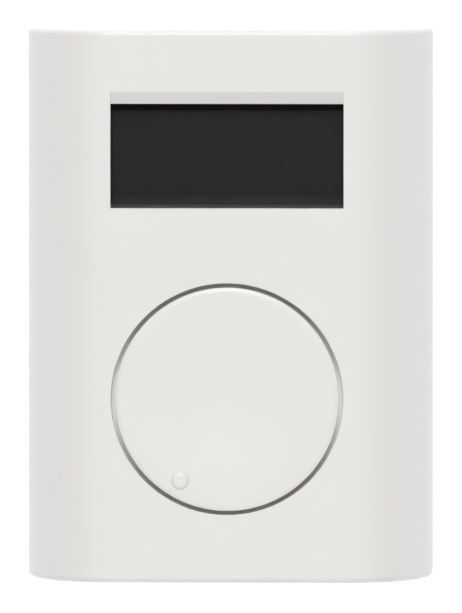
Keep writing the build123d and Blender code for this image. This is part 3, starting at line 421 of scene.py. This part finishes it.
finishes = {
    "front_cover": (case_white, 0.12),
    "display_lens": (smoked, 0.1),
    "display_gasket": (foam_black, 0.1),
    "polarising_film": (film_dark, 0.02),
    "lcd_panel": (display_glass, 0.05),
    "lcd_connector": (contact_rubber, 0.1),
    "light_guide": (guide_acrylic, 0.1),
    "lcd_frame": (frame_white, 0.1),
    "backlight_leds": (led_body, 0.1),
    "main_board": (board_mask, 0.05),
    "board_screws": (zinc, 0.08),
    "encoder_base": (encoder_green, 0.08),
    "encoder_housing": (steel, 0.06),
    "encoder_pins": (gold, 0.05),
    "encoder_rotor": (inner_black, 0.05),
    "detent_spring": (spring_steel, 0.03),
    "push_dome": (spring_steel, 0.02),
    "push_plunger": (inner_black, 0.05),
    "microcontroller": (chip_epoxy, 0.04),
    "bus_transceiver": (chip_epoxy, 0.05),
    "capacitors": (can_metal, 0.1),
    "inductor": (ferrite, 0.1),
    "crystal": (can_metal, 0.1),
    "chip_parts": (chip_ceramic, 0.05),
    "temperature_sensor": (sensor_resin, 0.05),
    "spring_contacts": (gold, 0.03),
    "dial_shaft": (shaft_metal, 0.06),
    "dial_clip": (spring_steel, 0.05),
    "back_plate": (plate_white, 0.12),
    "cover_latch": (plate_white, 0.1),
    "terminal_block": (terminal_grey, 0.1),
    "terminal_clamps": (zinc, 0.05),
    "terminal_screws": (zinc, 0.06),
    "contact_strips": (brass, 0.05),
}
for node, (material, width) in finishes.items():
    softened(node, material, width)


def press_dome():
    """Gives the snap dome's piece its own copy of its mesh."""
    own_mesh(bpy.data.objects["push_dome_body"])


press_dome()

# ---- Dial ----------------------------------------------------------------------------------------

DIAL_R, RIM_OUT, FLOOR_OUT = 18.2, 21.75, 20.85
EDGE_W, EDGE_H, EDGE_CORNER = 0.9, 0.2, 0.05
FACE_R = DIAL_R - EDGE_W
COLLAR_FRONT_OUT = 20.15
DOT_R, DOT_OUT, DOT_ROUND_W, DOT_ROUND_H, DOT_FOOT = 1.45, 22.25, 0.8, 0.5, 0.06
DOT_DISTANCE, DOT_ANGLE = 15.3, math.radians(30)
DISH_STEPS, SLOPE_STEPS, CORNER_STEPS, DOT_STEPS = 60, 12, 4, 12
DIAL_SEGMENTS, DOT_SEGMENTS, JOINT_SEGMENTS = 256, 72, 24


def dish_out(r):
    """How far from the wall the dished face lies, this far from the dial's axis."""
    t = min(r / FACE_R, 1.0)
    return FLOOR_OUT + (RIM_OUT - FLOOR_OUT) * (3 * t**2 - 2 * t**3)


def rounded_edge(r, out, width, height, steps):
    """Points of a quarter ellipse from a wall at radius r to a face at out."""
    turns = [math.pi / 2 * i / steps for i in range(steps + 1)]
    return [(r - width + width * math.cos(a), out - height + height * math.sin(a)) for a in turns]


def lathe(bm, profile, x, z, segments):
    """Spins a profile of (r, out) about the line through (x, z) that runs out of the wall."""
    rings = []
    for r, out in profile:
        if r < 1e-6:
            rings.append([bm.verts.new(Vector((x, -out, z)) * MM)])
            continue
        turns = [2 * math.pi * k / segments for k in range(segments)]
        rings.append([
            bm.verts.new(Vector((x + r * math.cos(a), -out, z + r * math.sin(a))) * MM) for a in turns
        ])
    for low, high in zip(rings, rings[1:]):
        for k in range(segments):
            after = (k + 1) % segments
            corners = [low[k], low[after]]
            corners += [high[0]] if len(high) == 1 else [high[after], high[k]]
            bm.faces.new(corners)


def dial():
    """The dial: its skirt, collar, ribs and hub as made, under a finely turned dish with the raised dot."""
    bm = bmesh.new()
    bm.from_mesh(nodes["dial_knob"].data)
    front = [f for f in bm.faces if -f.calc_center_median().y > (COLLAR_FRONT_OUT + 0.02) * MM]
    bmesh.ops.delete(bm, geom=front, context="FACES")
    skin = [(DIAL_R, COLLAR_FRONT_OUT - 0.15), (DIAL_R, COLLAR_FRONT_OUT + 0.5)]
    skin += rounded_edge(DIAL_R, RIM_OUT - EDGE_H, EDGE_CORNER, EDGE_CORNER, CORNER_STEPS)
    for i in range(SLOPE_STEPS, 0, -1):
        slope = i / SLOPE_STEPS
        skin.append((FACE_R + (EDGE_W - EDGE_CORNER) * slope, RIM_OUT - EDGE_H * slope**2))
    skin.append((FACE_R, RIM_OUT))
    for i in range(DISH_STEPS - 1, -1, -1):
        r = FACE_R * i / DISH_STEPS
        skin.append((r, dish_out(r)))
    lathe(bm, skin, DIAL_AXIS.x / MM, DIAL_AXIS.z / MM, DIAL_SEGMENTS)
    dot_x = -DOT_DISTANCE * math.sin(DOT_ANGLE)
    dot_z = DIAL_AXIS.z / MM - DOT_DISTANCE * math.cos(DOT_ANGLE)
    foot_out = dish_out(DOT_DISTANCE)
    dot = [(DOT_R + DOT_FOOT, foot_out - 0.04), (DOT_R + 0.02, foot_out + 0.02)]
    dot += rounded_edge(DOT_R, DOT_OUT, DOT_ROUND_W, DOT_ROUND_H, DOT_STEPS)
    dot.append((0, DOT_OUT))
    lathe(bm, dot, dot_x, dot_z, DOT_SEGMENTS)
    bmesh.ops.recalc_face_normals(bm, faces=bm.faces)
    finish_mesh(bm, "dial_knob_body", "dial", dial_white, "dial_knob")


ENCODER_PINS = [(-2.5, -7.0), (0, -7.0), (2.5, -7.0), (-2.5, 7.0), (2.5, 7.0)]
SENSOR_LEADS = [(-8.6, -37.4), (-7.4, -37.4)]
LEAD_R, LEAD_TIP_R, LEAD_END = 0.28, 0.16, 0.13


def solder_joints():
    """Concave solder cones on the back of the board, round every lead that comes through."""
    board_back = -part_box("main_board")[1].y / MM
    pins = [(x, DIAL_AXIS.z / MM + z) for x, z in ENCODER_PINS]
    bm = bmesh.new()
    for places, foot, rise in ((pins, 0.95, 0.75), (SENSOR_LEADS, 0.5, 0.5)):
        cone = [
            (foot * (1 - t) ** 1.8 + LEAD_R * t, board_back - rise * t) for t in (0, 0.15, 0.35, 0.6, 0.85, 1)
        ]
        cone += [(LEAD_TIP_R, board_back - rise - 0.1), (0, board_back - rise - LEAD_END)]
        for x, z in places:
            lathe(bm, cone, x, z, JOINT_SEGMENTS)
    bmesh.ops.recalc_face_normals(bm, faces=bm.faces)
    finish_mesh(bm, "solder_joints", "front_unit", solder)


dial()
solder_joints()

# ---- Studio --------------------------------------------------------------------------------------


FLOOR_DROP, FLOOR_HALF = 0.004, 4


def white_floor():
    """A plain white floor just below the object. It adds no light, and is white from any side."""
    mesh = bpy.data.meshes.new("floor")
    level = cad_box[0].z - FLOOR_DROP
    corners = [(x * FLOOR_HALF, y * FLOOR_HALF, level) for x, y in ((-1, -1), (1, -1), (1, 1), (-1, 1))]
    mesh.from_pydata(corners, [], [(0, 1, 2, 3)])
    floor = bpy.data.objects.new("floor", mesh)
    bpy.context.scene.collection.objects.link(floor)
    s = Shader("floor_white")
    for key, value in (
        ("Base Color", (0.1, 0.1, 0.1, 1)), ("Roughness", 1.0),
        ("Emission Color", (1, 1, 1, 1)), ("Emission Strength", 1.0),
    ):
        s.bsdf.inputs[key].default_value = value
    mesh.materials.append(s.material)
    floor.visible_diffuse = floor.visible_glossy = floor.visible_shadow = False


BAND_LEVEL, BAND_CORE, BAND_EDGE = 9.2, 0.05, 0.23
BAND_BELOW, BAND_MIDDLE, BAND_OVERHEAD = 0.30, 0.01, 0.24
SIDE_LEFT, SIDE_RIGHT, FLOOR_GLOW = 0.52, 0.66, 0.50
BASE_LEVEL, BEHIND_LEVEL, BACK_LEVEL = 0.17, 1.5, 0.80
FRONT_TINT, SIDE_TINT = (1.0, 0.995, 0.99), (1.0, 0.965, 0.965)


def studio_world():
    """Light by direction: an upright strip in front, above and below, dim sides and a bright rear.

    Surfaces that face the rear get less of it than reflections do, and the camera sees plain white.
    """
    world = bpy.data.worlds.new("studio")
    bpy.context.scene.world = world
    world.use_nodes = True
    world.node_tree.nodes.clear()
    g = Graph(world.node_tree)
    toward = g.xyz(g.node("ShaderNodeTexCoord").outputs["Generated"])
    x, y, z = (toward[axis] for axis in "XYZ")

    def ease(value, low, high, out_low, out_high):
        return g.span(value, low, high, out_low, out_high, smooth=True)

    strip = ease(g.math("ABSOLUTE", x), BAND_CORE, BAND_EDGE, BAND_LEVEL, 0.0)
    steep = ease(g.math("ABSOLUTE", z), 0.72, 0.95, 1.0, BAND_OVERHEAD)
    above = ease(z, 0.12, 0.40, BAND_MIDDLE, 1.0)
    below = ease(z, -0.40, -0.12, BAND_BELOW, 0.0)
    strip = g.math("MULTIPLY", strip, steep, g.math("ADD", above, below))
    right = ease(x, 0.15, 0.42, 0.0, SIDE_RIGHT - BASE_LEVEL)
    right = g.math("MULTIPLY", right, ease(x, 0.45, 0.85, 1.0, 0.0))
    left = ease(x, -0.9, -0.55, SIDE_LEFT - BASE_LEVEL, 0.0)
    low = ease(z, -0.95, -0.55, FLOOR_GLOW, 0.0)
    path = g.node("ShaderNodeLightPath").outputs
    straight = g.math("MULTIPLY", path["Is Diffuse Ray"], ease(y, 0.3, 0.6, 0.0, 1.0))
    rear = g.math("ADD", g.math("MULTIPLY", straight, BACK_LEVEL - BEHIND_LEVEL), BEHIND_LEVEL)
    level = g.node("ShaderNodeMix")
    g.put(level.inputs["Factor"], ease(y, 0.0, 0.30, 0.0, 1.0))
    g.put(level.inputs[2], g.math("ADD", strip, BASE_LEVEL, left, right, low))
    g.put(level.inputs[3], rear)
    lit = g.node("ShaderNodeBackground")
    g.put(lit.inputs["Strength"], level.outputs[0])
    g.put(lit.inputs["Color"], g.mix(ease(y, -0.7, -0.1, 0.0, 1.0), FRONT_TINT, SIDE_TINT))
    seen = g.node("ShaderNodeBackground")
    seen.inputs["Strength"].default_value = 1.0
    seen.inputs["Color"].default_value = (1, 1, 1, 1)
    both = g.node("ShaderNodeMixShader")
    g.put(both.inputs[0], path["Is Camera Ray"])
    g.put(both.inputs[1], lit.outputs[0])
    g.put(both.inputs[2], seen.outputs[0])
    g.put(g.node("ShaderNodeOutputWorld").inputs["Surface"], both.outputs[0])


CAMERA_AZIMUTH, CAMERA_ELEVATION, CAMERA_DISTANCE = math.radians(1.9), math.radians(2.9), 2.6
CAMERA_TARGET = Vector((0.67, -21.7, 0.05)) * MM
IMAGE_HEIGHT, IMAGE_PER_MM = 613, 6.143
SENSOR_WIDTH = 36.0


def camera():
    """A long lens, a little above and to the right of straight on."""
    back = Vector((
        math.sin(CAMERA_AZIMUTH) * math.cos(CAMERA_ELEVATION),
        -math.cos(CAMERA_AZIMUTH) * math.cos(CAMERA_ELEVATION),
        math.sin(CAMERA_ELEVATION),
    ))
    data = bpy.data.cameras.new("camera")
    data.sensor_width = SENSOR_WIDTH
    data.lens = SENSOR_WIDTH * CAMERA_DISTANCE / (IMAGE_HEIGHT / IMAGE_PER_MM * MM)
    data.clip_start, data.clip_end = 0.05, 20.0
    obj = bpy.data.objects.new("camera", data)
    bpy.context.scene.collection.objects.link(obj)
    obj.location = CAMERA_TARGET + back * CAMERA_DISTANCE
    obj.rotation_mode = "QUATERNION"
    obj.rotation_quaternion = (-back).to_track_quat("-Z", "Y")
    bpy.context.scene.camera = obj


white_floor()
studio_world()
camera()
bpy.context.scene.view_settings.view_transform = "Standard"
